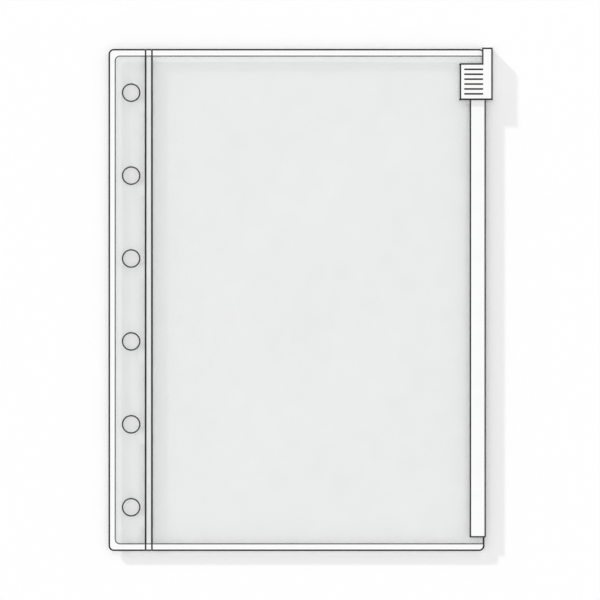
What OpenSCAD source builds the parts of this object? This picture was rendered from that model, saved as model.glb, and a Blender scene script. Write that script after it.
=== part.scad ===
// Punched slide-zip pocket page for a ring planner
// Two clear films are welded round three sides. A punched margin bends along a double crease,
// and a slide zip closes the side away from the rings.
// Sheet coordinates: X runs from the punched edge, Y up from the bottom edge,
// and Z is measured from the plane between the two films.

/* [Sheet] */
// Width of the welded sheet, from the punched edge to the zip edge
sheet_w = 161; // [110:0.1:240]
// Height of the welded sheet
sheet_h = 215; // [120:0.5:320]
// Radius of the sheet's outer corners
sheet_corner_r = 2.3; // [1:0.1:3]
// Thickness of one film
film_t = 0.2; // [0.1:0.01:0.35]
// Air between the two films of the empty pocket
film_gap = 0.1; // [0.04:0.01:0.2]

/* [Welds] */
// Width of the weld band down the punched edge
side_weld_w = 3.1; // [1.6:0.1:4]
// Width of the weld bands along the top and the bottom
end_weld_w = 3.3; // [1.6:0.1:4.5]
// Radius of the weld band's inner corners
weld_inner_r = 1.8; // [0.5:0.1:4]
// Thickness of the pressed weld band
weld_t = 0.4; // [0.2:0.05:0.6]
// Width of the bead along the cut edge
edge_bead_w = 0.8; // [0.3:0.05:0.95]
// Width of the fine bead along the weld's inner line
inner_bead_w = 0.5; // [0.2:0.05:0.6]
// Thickness of the beads, through both faces
bead_t = 0.6; // [0.3:0.05:0.9]

/* [Crease] */
// Distance from the punched edge to the first crease line
crease_x = 15.9; // [14.5:0.05:30]
// Distance between the two crease lines
crease_pitch = 2.7; // [2:0.01:6]
// Width of one crease bead
crease_bead_w = 0.8; // [0.3:0.05:1.2]
// Thickness of the strip that bends between the crease beads
web_t = 0.3; // [0.15:0.05:0.5]

/* [Ring holes] */
// Diameter of a ring hole
ring_hole_d = 6.8; // [4:0.1:8.5]
// Distance from the punched edge to the ring holes' centres
ring_hole_x = 9.7; // [7.5:0.1:11]
// Distance between neighbouring ring holes
ring_hole_pitch = 35.5; // [12:0.5:60]
// Least distance from a ring hole's centre to the top or bottom edge
ring_hole_edge = 15; // [8:0.5:30]

/* [Zip track] */
// Width of the closed zip track across its face
track_w = 6.9; // [6:0.1:12]
// How far the track stands past the sheet's zip edge
track_overhang = 0.5; // [0:0.1:1.4]
// Distance from the sheet's bottom edge to the track's lower end
track_low_gap = 5.9; // [5:0.1:15]
// Distance from the sheet's top edge to the track's upper end
track_top_gap = 6.3; // [5:0.1:15]
// Width of the two lips past the interlock, which the slider's blade runs between
lip_w = 1.5; // [1:0.1:2]
// Bevel of the track's outer edges
track_bevel = 0.25; // [0.05:0.05:0.4]
// Width of the stem of the rib
rib_stem_w = 0.7; // [0.4:0.05:1]
// Width of the rib's arrow head across its barbs
rib_head_w = 1.3; // [1.05:0.05:1.6]
// Width of the arrow head's flat tip
rib_tip_w = 0.5; // [0.2:0.05:0.9]
// Height of the arrow head
rib_head_h = 0.36; // [0.2:0.02:0.6]
// Clearance round the rib in its groove
rib_clear = 0.08; // [0.03:0.01:0.15]
// Thickness of the hooks that hold the arrow head
hook_t = 0.3; // [0.15:0.05:0.5]
// Thickness of the groove's side walls
groove_wall_t = 0.62; // [0.4:0.02:0.8]
// Thickness of the groove's roof
groove_roof_t = 0.36; // [0.2:0.02:0.6]
// Gap between the two halves where they face each other
land_gap = 0.04; // [0.02:0.01:0.08]
// Gap between a film's tucked edge and the track
tuck_clear = 0.1; // [0.05:0.05:0.3]

/* [Slider] */
// Length of the slider's body along the track
slider_len = 15.8; // [12:0.1:25]
// Width of the jaws that hook behind the track
jaw_w = 4.1; // [2:0.1:8]
// Thickness of the slider's spine, outside the track
spine_t = 2.6; // [1.5:0.1:5]
// Thickness of the slider's front and rear walls
slider_wall_t = 1; // [0.8:0.05:2]
// Running clearance between the slider and the track
run_clear = 0.3; // [0.15:0.05:0.5]
// Clearance between a jaw and the film that it passes over
jaw_clear = 0.35; // [0.25:0.05:0.5]
// Rounding of the slider's long edges
slider_edge_r = 0.7; // [0.3:0.05:0.75]
// Radius of the slider's corners in front view
slider_corner_r = 0.5; // [0.2:0.05:1]
// Bevel at the mouths of the slider's channel, which leads the track in
lead_in = 0.5; // [0.1:0.05:0.6]
// Distance from the track's top end to the closed slider's body
slider_park = 0; // [0:0.1:2]
// Length of the tail past the slider's body
tail_len = 6.7; // [2:0.1:15]
// Width of the tail
tail_w = 4.6; // [3.2:0.1:6]
// Thickness of the blade that parts the two lips
blade_t = 0.4; // [0.25:0.05:0.8]
// Length of the blade along the track
blade_len = 5; // [3:0.1:6]
// Distance from the top of the slider's body to the blade
blade_inset = 2.9; // [1:0.1:4]
// Length of a grip groove
grip_len = 8; // [3:0.1:9]
// Width of a grip groove
grip_w = 0.6; // [0.3:0.05:1.2]
// Depth of a grip groove
grip_depth = 0.4; // [0.1:0.05:0.6]
// Distance between neighbouring grip grooves
grip_pitch = 2.1; // [1.5:0.05:4]
// Least distance from a grip groove's line to the end of the slider's body
grip_end = 2.2; // [1:0.1:4]
// Distance from the jaws' edge to the grip grooves
grip_inset = 2; // [1:0.1:4]

/* [Hidden] */
$fn = 48;

// A cutting shape reaches this far past what it cuts
past = 1;

// Films, seen in section: inner and outer face of the front film
film_in = film_gap / 2;
film_out = film_in + film_t;

// Crease: the strip runs between the facing edges of its two beads
margin_bead_x = crease_x - crease_bead_w / 2;
web_x = crease_x + crease_bead_w / 2;
pocket_bead_x = web_x + crease_pitch - crease_bead_w;
pocket_x = pocket_bead_x + crease_bead_w;

// Ring holes: as many as fit, centred on the sheet's height
ring_hole_gaps = floor((sheet_h - 2 * ring_hole_edge) / ring_hole_pitch);
ring_hole_first = (sheet_h - ring_hole_gaps * ring_hole_pitch) / 2;

// Zip track: flange, interlock and lips across its width, then its half thickness
track_x = sheet_w + track_overhang - track_w;
track_end_x = track_x + track_w;
track_bottom = track_low_gap;
track_top = sheet_h - track_top_gap;
groove_w = rib_head_w + 2 * rib_clear;
mouth_w = rib_stem_w + 2 * rib_clear;
interlock_w = groove_w + 2 * groove_wall_t;
flange_w = track_w - lip_w - interlock_w - tuck_clear;
interlock_u = flange_w + tuck_clear;
rib_u = interlock_u + interlock_w / 2;
lip_u = interlock_u + interlock_w;
land_z = land_gap / 2;
hook_z = land_z + hook_t;
barb_z = hook_z + rib_clear;
tip_z = barb_z + rib_head_h;
roof_z = tip_z + rib_clear;
track_z = roof_z + groove_roof_t;
lip_z = blade_t / 2 + run_clear;

// Slider: outer box, the space round the track and the slot for the film
slider_x = track_x - run_clear - jaw_w;
slider_end_x = track_end_x + run_clear + spine_t;
slider_top = track_top - slider_park;
slider_bottom = slider_top - slider_len;
tail_top = slider_top + tail_len;
bay_z = track_z + run_clear;
slider_z = bay_z + slider_wall_t;
slot_z = film_out + jaw_clear;
spine_x = slider_end_x - spine_t;
grip_gaps = floor((slider_len - 2 * grip_end) / grip_pitch);
grip_first = (slider_len - grip_gaps * grip_pitch) / 2;

// Blade and the fused ends that stop it, at the closed and at the open end of the travel
blade_top = slider_top - blade_inset;
blade_bottom = blade_top - blade_len;
top_stop_len = track_top - blade_top - run_clear;
bottom_stop_len = blade_bottom - slider_bottom - run_clear;

// The whole part rests on the slider's rear wall, centred on its own box
part_w = slider_end_x;
part_h = max(sheet_h, tail_top);

clear_film = [0.92, 0.93, 0.925, 0.5];
weld_white = [0.97, 0.97, 0.97];
bead_grey = [0.3, 0.3, 0.32];
zip_white = [0.99, 0.99, 0.99];

// Puts sheet coordinates into the part's own frame
module place() {
    translate([-part_w / 2, -part_h / 2, slider_z]) children();
}

// A rectangle from corner to corner
module span(x0, y0, x1, y1) {
    translate([x0, y0]) square([x1 - x0, y1 - y0]);
}

// A rectangle with round corners
module round_span(x0, y0, x1, y1, r) {
    span(x0 + r, y0, x1 - r, y1);
    span(x0, y0 + r, x1, y1 - r);
    for (x = [x0 + r, x1 - r], y = [y0 + r, y1 - r]) {
        translate([x, y]) circle(r);
    }
}

// A slot with round ends along X
module round_slot(x0, x1, y, w) {
    span(x0 + w / 2, y - w / 2, x1 - w / 2, y + w / 2);
    for (x = [x0 + w / 2, x1 - w / 2]) {
        translate([x, y]) circle(d = w);
    }
}

// A flat shape given a thickness between two heights
module layer(z0, z1) {
    translate([0, 0, z0]) linear_extrude(z1 - z0) children();
}

// The cut sheet, drawn in from its edge by a margin
module sheet_outline(inset = 0) {
    round_span(inset, inset, sheet_w - inset, sheet_h - inset, sheet_corner_r - inset);
}

// The unwelded inside of the sheet, grown by a margin. It runs out past the zip edge.
module weld_inside(grow = 0) {
    round_span(
        side_weld_w - grow, end_weld_w - grow,
        sheet_w + weld_inner_r + past, sheet_h - end_weld_w + grow,
        weld_inner_r + grow
    );
}

// The weld within one stretch of the sheet: pressed band, fine inner bead and edge bead
module weld(x0, x1, y0, y1, bead_y0, bead_y1) {
    layer(-weld_t / 2, weld_t / 2) intersection() {
        difference() {
            sheet_outline();
            weld_inside();
        }
        span(x0, y0, x1, y1);
    }
    layer(-bead_t / 2, bead_t / 2) intersection() {
        difference() {
            weld_inside(inner_bead_w);
            weld_inside();
        }
        span(x0, y0, x1, y1);
    }
    layer(-bead_t / 2, bead_t / 2) intersection() {
        difference() {
            sheet_outline();
            sheet_outline(edge_bead_w);
        }
        span(x0, bead_y0, x1, bead_y1);
    }
}

// One film of the punched margin
module margin_film(z0, z1) {
    difference() {
        layer(z0, z1) intersection() {
            weld_inside();
            span(0, 0, margin_bead_x, sheet_h);
        }
        for (i = [0:ring_hole_gaps]) {
            translate([ring_hole_x, ring_hole_first + i * ring_hole_pitch, z0 - past])
                cylinder(d = ring_hole_d, h = z1 - z0 + 2 * past);
        }
    }
}

// One film of the pocket, cut back along the track where its edge is tucked under the flange
module pocket_film(z0, z1) {
    layer(z0, z1) difference() {
        span(pocket_x, end_weld_w, sheet_w - edge_bead_w, sheet_h - end_weld_w);
        span(track_x + flange_w, track_bottom - tuck_clear, sheet_w + past, track_top + tuck_clear);
    }
}

// A bead pressed across the whole height of the sheet
module crease_bead(x) {
    layer(-bead_t / 2, bead_t / 2) span(x, 0, x + crease_bead_w, sheet_h);
}

// A profile drawn across the zip, X outward and Y towards the front, run along the page
module along_zip(y0, y1) {
    translate([0, y1, 0]) rotate([90, 0, 0]) linear_extrude(y1 - y0) children();
}

// Section of the front half: flange, groove with two hooks, and lip
module groove_profile() {
    polygon([
        [0, film_out], [interlock_u, film_out], [interlock_u, land_z],
        [rib_u - mouth_w / 2, land_z], [rib_u - mouth_w / 2, hook_z],
        [rib_u - groove_w / 2, hook_z], [rib_u - groove_w / 2, roof_z],
        [rib_u + groove_w / 2, roof_z], [rib_u + groove_w / 2, hook_z],
        [rib_u + mouth_w / 2, hook_z], [rib_u + mouth_w / 2, land_z],
        [lip_u, land_z], [lip_u, lip_z], [track_w, lip_z],
        [track_w, track_z - track_bevel], [track_w - track_bevel, track_z],
        [track_bevel, track_z], [0, track_z - track_bevel]
    ]);
}

// Section of the rear half: flange, arrow-headed rib and lip
module rib_profile() {
    polygon([
        [0, -film_out], [interlock_u, -film_out], [interlock_u, -land_z],
        [rib_u - rib_stem_w / 2, -land_z], [rib_u - rib_stem_w / 2, barb_z],
        [rib_u - rib_head_w / 2, barb_z], [rib_u - rib_tip_w / 2, tip_z],
        [rib_u + rib_tip_w / 2, tip_z], [rib_u + rib_head_w / 2, barb_z],
        [rib_u + rib_stem_w / 2, barb_z], [rib_u + rib_stem_w / 2, -land_z],
        [lip_u, -land_z], [lip_u, -lip_z], [track_w, -lip_z],
        [track_w, track_bevel - track_z], [track_w - track_bevel, -track_z],
        [track_bevel, -track_z], [0, track_bevel - track_z]
    ]);
}

// A fused end of the track, filling the gap between its lips
module end_stop(y0, len) {
    layer(-lip_z, lip_z) span(track_x + lip_u, y0, track_end_x, y0 + len);
}

// Section of the slider: a channel that closes behind the track, with a slot for the film
module slider_profile() {
    difference() {
        round_span(slider_x, -slider_z, slider_end_x, slider_z, slider_edge_r);
        span(slider_x + jaw_w, -bay_z, spine_x, bay_z);
        span(slider_x - past, -slot_z, spine_x, slot_z);
    }
}

// Front view of the slider: its body and the tail that reaches past the track's end
module slider_outline() {
    round_span(slider_x, slider_bottom, slider_end_x, slider_top, slider_corner_r);
    round_span(slider_end_x - tail_w, slider_top - 2 * slider_corner_r, slider_end_x, tail_top, slider_corner_r);
}

// The row of grip grooves, each with round ends
module grip_grooves(z0, z1) {
    x0 = slider_x + grip_inset;
    layer(z0, z1) for (i = [0:grip_gaps]) {
        round_slot(x0, x0 + grip_len, slider_bottom + grip_first + i * grip_pitch, grip_w);
    }
}

// The bevels that widen one mouth of the channel, in front of the track and behind it
module lead_in_bevels(y, x1) {
    reach = lead_in + past;
    bay_x = slider_x + jaw_w;
    for (side = [0, 1]) {
        translate([bay_x, y, 0]) mirror([0, 0, side]) rotate([90, 0, 90]) linear_extrude(x1 - bay_x)
            polygon([[-reach, bay_z - past], [reach, bay_z - past], [0, bay_z + lead_in]]);
    }
}

// The blade, with a nose that narrows towards the closed track
module blade() {
    layer(-blade_t / 2, blade_t / 2) polygon([
        [spine_x + spine_t / 2, blade_bottom], [spine_x, blade_bottom],
        [spine_x - lip_w, blade_bottom + lip_w], [spine_x - lip_w, blade_top],
        [spine_x + spine_t / 2, blade_top]
    ]);
}

module margin_front_film() {
    color(clear_film) place() margin_film(film_in, film_out);
}

module margin_rear_film() {
    color(clear_film) place() margin_film(-film_out, -film_in);
}

module margin_weld_seam() {
    color(weld_white) place() weld(0, margin_bead_x, 0, sheet_h, 0, sheet_h);
}

module margin_crease_weld() {
    color(bead_grey) place() crease_bead(margin_bead_x);
}

module crease_web() {
    color(clear_film) place() layer(-web_t / 2, web_t / 2) span(web_x, 0, pocket_bead_x, sheet_h);
}

module pocket_front_film() {
    color(clear_film) place() pocket_film(film_in, film_out);
}

module pocket_rear_film() {
    color(clear_film) place() pocket_film(-film_out, -film_in);
}

module top_weld_seam() {
    color(weld_white) place()
        weld(pocket_x, sheet_w, sheet_h - end_weld_w, sheet_h, track_top + tuck_clear, sheet_h);
}

module bottom_weld_seam() {
    color(weld_white) place()
        weld(pocket_x, sheet_w, 0, end_weld_w, 0, track_bottom - tuck_clear);
}

module pocket_crease_weld() {
    color(bead_grey) place() crease_bead(pocket_bead_x);
}

module zip_groove_track() {
    color(zip_white) place() along_zip(track_bottom, track_top) translate([track_x, 0]) groove_profile();
}

module zip_rib_track() {
    color(zip_white) place() along_zip(track_bottom, track_top) translate([track_x, 0]) rib_profile();
}

module top_end_stop() {
    color(zip_white) place() end_stop(track_top - top_stop_len, top_stop_len);
}

module bottom_end_stop() {
    color(zip_white) place() end_stop(track_bottom, bottom_stop_len);
}

module zip_slider() {
    color(zip_white) place() {
        difference() {
            intersection() {
                along_zip(slider_bottom - past, tail_top + past) slider_profile();
                layer(-slider_z - past, slider_z + past) slider_outline();
            }
            grip_grooves(slider_z - grip_depth, slider_z + past);
            grip_grooves(-slider_z - past, grip_depth - slider_z);
            lead_in_bevels(slider_bottom, spine_x);
            lead_in_bevels(slider_top, slider_end_x - tail_w);
            lead_in_bevels(tail_top, spine_x);
        }
        blade();
    }
}

margin_front_film();
margin_rear_film();
margin_weld_seam();
margin_crease_weld();
crease_web();
pocket_front_film();
pocket_rear_film();
top_weld_seam();
bottom_weld_seam();
pocket_crease_weld();
zip_groove_track();
zip_rib_track();
top_end_stop();
bottom_end_stop();
zip_slider();
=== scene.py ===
"""Looks of a clear zip pocket page for a ring planner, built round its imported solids.

Lengths are millimetres in sheet coordinates: x runs from the punched edge, y up from the bottom
edge and z from the plane between the two films. SheetSpace turns them into the frame's metres.
"""

import logging
import math
from dataclasses import dataclass, field, replace
from enum import Enum
from functools import partial
from typing import Any, Callable, Sequence

import bmesh
import bpy
import numpy as np
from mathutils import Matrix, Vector


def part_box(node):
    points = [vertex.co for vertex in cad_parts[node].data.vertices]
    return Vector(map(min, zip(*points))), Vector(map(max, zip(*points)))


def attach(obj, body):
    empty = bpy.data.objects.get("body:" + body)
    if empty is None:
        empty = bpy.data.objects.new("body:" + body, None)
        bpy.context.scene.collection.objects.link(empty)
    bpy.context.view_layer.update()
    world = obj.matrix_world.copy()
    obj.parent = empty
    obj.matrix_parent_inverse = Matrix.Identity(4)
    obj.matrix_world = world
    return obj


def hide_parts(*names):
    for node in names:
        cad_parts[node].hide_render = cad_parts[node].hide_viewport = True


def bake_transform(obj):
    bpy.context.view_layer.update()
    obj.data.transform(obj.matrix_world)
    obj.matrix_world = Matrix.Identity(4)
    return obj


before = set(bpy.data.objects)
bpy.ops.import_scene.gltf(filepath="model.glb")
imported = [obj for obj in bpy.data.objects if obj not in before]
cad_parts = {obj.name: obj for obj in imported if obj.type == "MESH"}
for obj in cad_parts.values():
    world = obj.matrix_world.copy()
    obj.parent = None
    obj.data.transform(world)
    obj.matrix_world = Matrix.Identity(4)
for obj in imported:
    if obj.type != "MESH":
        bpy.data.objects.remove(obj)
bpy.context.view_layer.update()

LOG = logging.getLogger("zip_pocket")
MM = 0.001
WHITE = (1.0, 1.0, 1.0, 1.0)
END_STEPS = 5

Range = tuple[float, float]
Triple = tuple[float, float, float]
Colour = tuple[float, float, float]


class Side(Enum):
    """The two faces of the page, valued by the sign of z."""

    FRONT = 1
    REAR = -1


class End(Enum):
    """The two ends of the page's height."""

    TOP = "top"
    BOTTOM = "bottom"


def ramp(low: float, high: float, value: np.ndarray) -> np.ndarray:
    """Rises smoothly from 0 at low to 1 at high.

    Args:
        low: Where the rise starts.
        high: Where the rise ends.
        value: Places to measure.

    Returns:
        The height of the ramp at each place.
    """
    share = np.clip((value - low) / (high - low), 0.0, 1.0)
    return share * share * (3.0 - 2.0 * share)


def spaced(start: float, stop: float, step: float) -> np.ndarray:
    """Evenly spaced values from start to stop, about step apart.

    Args:
        start: First value.
        stop: Last value.
        step: Wanted distance between neighbours.

    Returns:
        The values, both ends included.
    """
    return np.linspace(start, stop, max(2, int(round(abs(stop - start) / step)) + 1))


def arc(centre: Sequence[float], radius: float, first: float, last: float, steps: int) -> np.ndarray:
    """Points along a circular arc.

    Args:
        centre: Centre of the circle.
        radius: Radius of the circle.
        first: Angle of the first point, in degrees.
        last: Angle of the last point, in degrees.
        steps: Number of segments.

    Returns:
        An array of steps + 1 flat points.
    """
    turn = np.radians(np.linspace(first, last, steps + 1))
    return np.column_stack((centre[0] + radius * np.cos(turn), centre[1] + radius * np.sin(turn)))


def level(x: np.ndarray, y: float) -> np.ndarray:
    """Flat points at the places x, all at the height y."""
    return np.column_stack((x, np.full(len(x), y)))


def upright(x: float, y: np.ndarray) -> np.ndarray:
    """Flat points at the place x, at all the heights y."""
    return np.column_stack((np.full(len(y), x), y))


def stood(section: np.ndarray, y: float) -> np.ndarray:
    """Stands a section, given by x and z, at one place along y."""
    return np.column_stack((section[:, 0], np.full(len(section), y), section[:, 1]))


@dataclass(frozen=True)
class SheetSpace:
    """Where sheet coordinates lie in the frame."""

    origin: Vector

    @classmethod
    def from_frame(cls) -> "SheetSpace":
        """Reads the sheet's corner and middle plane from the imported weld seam."""
        low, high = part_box("margin_weld_seam")
        return cls(Vector((low.x, low.y, (low.z + high.z) / 2)))

    def point(self, x: float, y: float) -> Vector:
        """One point of the sheet's middle plane in the frame's metres."""
        return self.origin + Vector((x, y, 0.0)) * MM

    def points(self, places: np.ndarray) -> np.ndarray:
        """Many points of the sheet in the frame's metres."""
        return np.asarray(places, float) * MM + np.array(self.origin)


def finished_object(name: str, mesh: bpy.types.Mesh, crease_deg: float) -> bpy.types.Object:
    """Links a mesh as a smooth-shaded object at the origin.

    Args:
        name: Name of the piece.
        mesh: Its mesh, in the frame's metres.
        crease_deg: Edges sharper than this stay sharp.

    Returns:
        The new object.
    """
    mesh.name = name
    mesh.polygons.foreach_set("use_smooth", [True] * len(mesh.polygons))
    mesh.set_sharp_from_angle(angle=math.radians(crease_deg))
    mesh.update()
    made = bpy.data.objects.new(name, mesh)
    bpy.context.scene.collection.objects.link(made)
    return made


class MeshDraft:
    """Points and faces of one piece, gathered in sheet coordinates."""

    CREASE_DEG = 35.0

    def __init__(self) -> None:
        """Starts an empty draft."""
        self.points: list[np.ndarray] = []
        self.faces: list[tuple[int, ...]] = []
        self.slots: list[int] = []

    def add_points(self, places: np.ndarray) -> np.ndarray:
        """Adds points.

        Args:
            places: Points with three coordinates each.

        Returns:
            The indices of the added points, in the shape of the given array.
        """
        flat = np.asarray(places, float).reshape(-1, 3)
        first = len(self.points)
        self.points.extend(flat)
        return np.arange(first, first + len(flat)).reshape(np.shape(places)[:-1])

    def add_face(self, corners: Sequence[int], slot: int = 0) -> None:
        """Adds one face, with the material slot that it takes."""
        self.faces.append(tuple(int(c) for c in corners))
        self.slots.append(slot)

    def bridge(self, ring: np.ndarray, following: np.ndarray, slots: Sequence[int] | None = None) -> None:
        """Joins two closed rings of points by a strip of faces.

        Args:
            ring: Indices of the first ring.
            following: Indices of the second ring, as many as in the first.
            slots: Material slot of each face, or None for slot 0.
        """
        for k in range(len(ring)):
            after = (k + 1) % len(ring)
            slot = 0 if slots is None else slots[k]
            self.add_face((ring[k], ring[after], following[after], following[k]), slot)

    def loft(self, rings: np.ndarray, slots: Sequence[Sequence[int]] | None = None) -> None:
        """Joins a row of closed rings into one closed body.

        Args:
            rings: Points, indexed by ring, place on the ring and coordinate.
            slots: Material slot of each face, by ring and place, or None for slot 0.
        """
        index = self.add_points(rings)
        for j in range(len(index) - 1):
            self.bridge(index[j], index[j + 1], None if slots is None else slots[j])
        self.add_face(index[0][::-1])
        self.add_face(index[-1])

    def piece(
        self, name: str, space: SheetSpace, materials: Sequence[bpy.types.Material]
    ) -> bpy.types.Object:
        """Turns the draft into a mesh object with outward faces.

        Args:
            name: Name of the piece.
            space: Where sheet coordinates lie in the frame.
            materials: Materials by slot.

        Returns:
            The new object, at the origin.
        """
        mesh = bpy.data.meshes.new(name)
        mesh.from_pydata(space.points(np.array(self.points)).tolist(), [], self.faces)
        for material in materials:
            mesh.materials.append(material)
        mesh.polygons.foreach_set("material_index", self.slots)
        draft = bmesh.new()
        draft.from_mesh(mesh)
        bmesh.ops.triangulate(draft, faces=[f for f in draft.faces if len(f.verts) > 4])
        bmesh.ops.recalc_face_normals(draft, faces=draft.faces)
        draft.to_mesh(mesh)
        draft.free()
        return finished_object(name, mesh, self.CREASE_DEG)


class FlatPattern:
    """A flat cut of film as a mesh of quads, later given its shape and its thickness."""

    MERGE = 1000.0
    DIGITS = 7

    def __init__(self) -> None:
        """Starts an empty pattern."""
        self.index: dict[tuple[int, int], int] = {}
        self.points: list[tuple[float, float]] = []
        self.quads: list[tuple[int, int, int, int]] = []

    def corner(self, x: float, y: float) -> int:
        """Adds a point, shared by all blocks that have it.

        Args:
            x: Its place along x.
            y: Its place along y.

        Returns:
            Its index.
        """
        key = (round(x * self.MERGE), round(y * self.MERGE))
        if key not in self.index:
            self.index[key] = len(self.points)
            self.points.append((float(x), float(y)))
        return self.index[key]

    def block(self, rows: np.ndarray, closed: bool = False) -> None:
        """Adds a block of quads.

        Args:
            rows: Flat points, indexed by row, place in the row and coordinate.
            closed: True if each row is a closed ring.
        """
        index = [[self.corner(x, y) for x, y in row] for row in rows]
        count = len(index[0])
        for low, high in zip(index, index[1:]):
            for k in range(count if closed else count - 1):
                after = (k + 1) % count
                self.quads.append((low[k], low[after], high[after], high[k]))

    def thickened(
        self, middle: Callable[[np.ndarray, np.ndarray], np.ndarray], thickness: float
    ) -> MeshDraft:
        """Gives the pattern its shape and thickness, with closed edges.

        Args:
            middle: Height of the film's middle at flat places x and y.
            thickness: Thickness of the film.

        Returns:
            The draft of a closed thin body.
        """
        flat = np.array(self.points)
        height = middle(flat[:, 0], flat[:, 1])
        draft = MeshDraft()
        upper = draft.add_points(np.column_stack((flat, height + thickness / 2)))
        lower = draft.add_points(np.column_stack((flat, height - thickness / 2)))
        edges: dict[tuple[int, int], int] = {}
        for quad in self.quads:
            draft.add_face([upper[k] for k in quad])
            draft.add_face([lower[k] for k in reversed(quad)])
            for a, b in zip(quad, quad[1:] + quad[:1]):
                key = (min(a, b), max(a, b))
                edges[key] = edges.get(key, 0) + 1
        for (a, b), uses in edges.items():
            if uses == 1:
                draft.add_face((upper[a], upper[b], lower[b], lower[a]))
        return draft

    def size(self) -> Range:
        """Measures the pattern.

        Returns:
            Its flat width and height in metres.
        """
        flat = np.array(self.points)
        width, height = flat.max(axis=0) - flat.min(axis=0)
        return round(float(width) * MM, self.DIGITS), round(float(height) * MM, self.DIGITS)


class NodeTree:
    """A node tree, with short calls to add nodes and to join them."""

    def __init__(self, tree: bpy.types.NodeTree) -> None:
        """Takes up the tree to add to."""
        self.tree = tree

    def add(self, kind: str, settings: dict[str, Any] | None = None, **inputs: Any) -> bpy.types.Node:
        """Adds a node.

        Args:
            kind: Blender's name of the node type.
            settings: Properties of the node.
            inputs: Values or sockets for its inputs, with _ for a space in a name.

        Returns:
            The new node.
        """
        node = self.tree.nodes.new(kind)
        for key, value in (settings or {}).items():
            setattr(node, key, value)
        for key, value in inputs.items():
            self.feed(node.inputs[key.replace("_", " ")], value)
        return node

    def feed(self, socket: bpy.types.NodeSocket, value: Any) -> None:
        """Links a socket to an input, or sets the input's own value.

        Args:
            socket: The input.
            value: The socket to link, or the value.
        """
        if isinstance(value, bpy.types.NodeSocket):
            self.tree.links.new(value, socket)
        else:
            socket.default_value = value

    def reckon(self, operation: str, *values: Any) -> bpy.types.NodeSocket:
        """Works out one sum.

        Args:
            operation: Blender's name of the sum.
            values: What goes into it.

        Returns:
            Its result.
        """
        node = self.add("ShaderNodeMath", {"operation": operation})
        for socket, value in zip(node.inputs, values):
            self.feed(socket, value)
        return node.outputs[0]

    def smooth(self, value: bpy.types.NodeSocket, low: float, high: float) -> bpy.types.NodeSocket:
        """A smooth rise from 0 to 1.

        Args:
            value: What the rise follows.
            low: Value where it starts.
            high: Value where it ends.

        Returns:
            The height of the rise.
        """
        node = self.add(
            "ShaderNodeMapRange", {"interpolation_type": "SMOOTHSTEP"},
            Value=value, From_Min=low, From_Max=high
        )
        return node.outputs["Result"]

    def mix(self, factor: Any, first: bpy.types.Node, second: bpy.types.Node) -> bpy.types.Node:
        """Mixes two shaders.

        Args:
            factor: Share of the second.
            first: Node of the first shader.
            second: Node of the second shader.

        Returns:
            The mixing node.
        """
        node = self.add("ShaderNodeMixShader", Fac=factor)
        self.feed(node.inputs[1], first.outputs[0])
        self.feed(node.inputs[2], second.outputs[0])
        return node


class Graph(NodeTree):
    """A material's node tree, with the patterns that the finishes share."""

    NOISE_LOW = 0.3
    NOISE_HIGH = 0.7

    def __init__(self, name: str) -> None:
        """Starts a material with an empty tree.

        Args:
            name: Name of the material.
        """
        self.material = bpy.data.materials.new(name)
        self.material.use_nodes = True
        super().__init__(self.material.node_tree)
        self.tree.nodes.clear()
        self.place = self.add("ShaderNodeTexCoord").outputs["Object"]

    def noise(
        self, scale: float, detail: float, stretch: Triple = (1.0, 1.0, 1.0), turn_deg: float = 0.0
    ) -> bpy.types.NodeSocket:
        """Noise on the piece's own place.

        Args:
            scale: Waves in a metre.
            detail: Octaves of finer noise.
            stretch: Scale along each axis before the noise is read.
            turn_deg: Turn of the pattern in the page's plane.

        Returns:
            The noise's factor.
        """
        turn = (0.0, 0.0, math.radians(turn_deg))
        mapping = self.add("ShaderNodeMapping", Vector=self.place, Scale=stretch, Rotation=turn)
        texture = self.add("ShaderNodeTexNoise", Vector=mapping.outputs[0], Scale=scale, Detail=detail)
        return texture.outputs["Fac"]

    def spread(self, source: bpy.types.NodeSocket, low: float, high: float) -> bpy.types.NodeSocket:
        """Maps the middle of a noise onto a range of values.

        Args:
            source: Noise from 0 to 1.
            low: Value where the noise is low.
            high: Value where the noise is high.

        Returns:
            The mapped value.
        """
        node = self.add(
            "ShaderNodeMapRange", Value=source, From_Min=self.NOISE_LOW, From_Max=self.NOISE_HIGH,
            To_Min=low, To_Max=high
        )
        return node.outputs["Result"]

    def blend(self, source: bpy.types.NodeSocket, first: Colour, second: Colour) -> bpy.types.NodeSocket:
        """A colour between two.

        Args:
            source: Noise from 0 to 1.
            first: Colour where the noise is low.
            second: Colour where the noise is high.

        Returns:
            The mixed colour.
        """
        node = self.add("ShaderNodeValToRGB", Fac=source)
        places = (self.NOISE_LOW, self.NOISE_HIGH)
        for element, place, colour in zip(node.color_ramp.elements, places, (first, second)):
            element.position = place
            element.color = (*colour, 1.0)
        return node.outputs["Color"]

    def bump(
        self, height: bpy.types.NodeSocket, depth: float, under: bpy.types.NodeSocket | None = None
    ) -> bpy.types.NodeSocket:
        """A bumped normal.

        Args:
            height: Height from 0 to 1.
            depth: Depth of the bumps in millimetres.
            under: Normal to bump further, or None for the surface's own.

        Returns:
            The bumped normal.
        """
        node = self.add("ShaderNodeBump", Height=height, Distance=depth * MM)
        if under is not None:
            self.feed(node.inputs["Normal"], under)
        return node.outputs["Normal"]

    def plastic(self, **inputs: Any) -> bpy.types.Material:
        """Finishes the material with one plastic shader, given its inputs."""
        return self.finish(self.add("ShaderNodeBsdfPrincipled", **inputs))

    def finish(self, shader: bpy.types.Node) -> bpy.types.Material:
        """Joins the shader to the output and returns the material."""
        self.add("ShaderNodeOutputMaterial", Surface=shader.outputs[0])
        return self.material


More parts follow.
